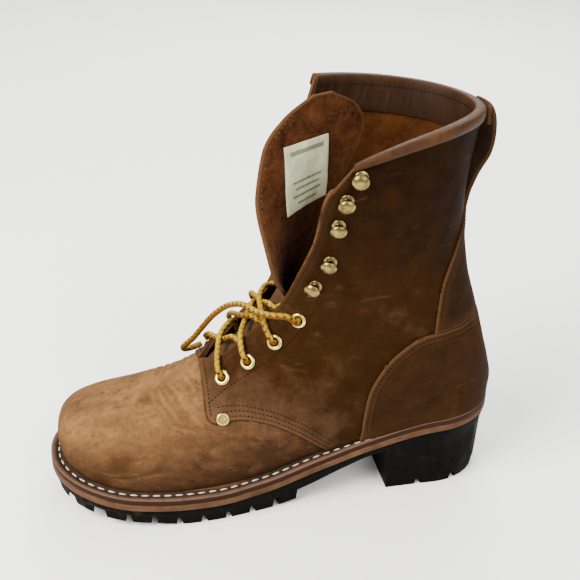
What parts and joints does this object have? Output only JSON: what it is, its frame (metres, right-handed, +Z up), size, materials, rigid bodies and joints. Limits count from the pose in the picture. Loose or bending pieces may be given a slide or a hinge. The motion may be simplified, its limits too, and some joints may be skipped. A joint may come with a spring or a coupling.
{
  "type": "work boot",
  "caption": "Left lace-up work boot with a high leather shaft, swung-out tongue, eyelets and lace hooks, lug sole and stacked heel, standing empty with its lace slack.",
  "frame": {"origin": "middle of the bounding box in plan, on the floor plane under the lugs", "axes": "+X from the toe to the heel, +Y to the inner side of the foot, +Z up"},
  "size_m": [0.316, 0.1196, 0.2839],
  "materials": {
    "upper_leather": "oiled nubuck, worn",
    "dark_leather": "oiled nubuck, worn",
    "binding_leather": "smooth, low gloss",
    "tongue_suede": "suede",
    "welt_leather": "edge-dressed",
    "midsole_leather": "matt edge",
    "sole_rubber": "matt, dusty",
    "insole_leather": "worn smooth",
    "brass": "polished, slightly worn",
    "lace_cord": "round braided cord"
  },
  "bodies": {
    "root": {"backstay": "dark_leather", "collar_binding": "binding_leather", "counter": "upper_leather", "eyelet_lateral_1": "brass", "eyelet_lateral_2": "brass", "eyelet_lateral_3": "brass", "eyelet_lateral_4": "brass", "eyelet_medial_1": "brass", "eyelet_medial_2": "brass", "eyelet_medial_3": "brass", "eyelet_medial_4": "brass", "hook_lateral_1": "brass", "hook_lateral_2": "brass", "hook_lateral_3": "brass", "hook_lateral_4": "brass", "hook_lateral_5": "brass", "hook_medial_1": "brass", "hook_medial_2": "brass", "hook_medial_3": "brass", "hook_medial_4": "brass", "hook_medial_5": "brass", "insole": "insole_leather", "lace_cross_1": "lace_cord", "lace_cross_2": "lace_cord", "lace_cross_3": "lace_cord", "lace_tail": "lace_cord", "midsole": "midsole_leather", "outsole": "sole_rubber", "pull_loop": "dark_leather", "rivet_lateral": "brass", "rivet_medial": "brass", "tongue": "tongue_suede", "upper": "upper_leather", "welt": "welt_leather"}
  },
  "joints": []
}
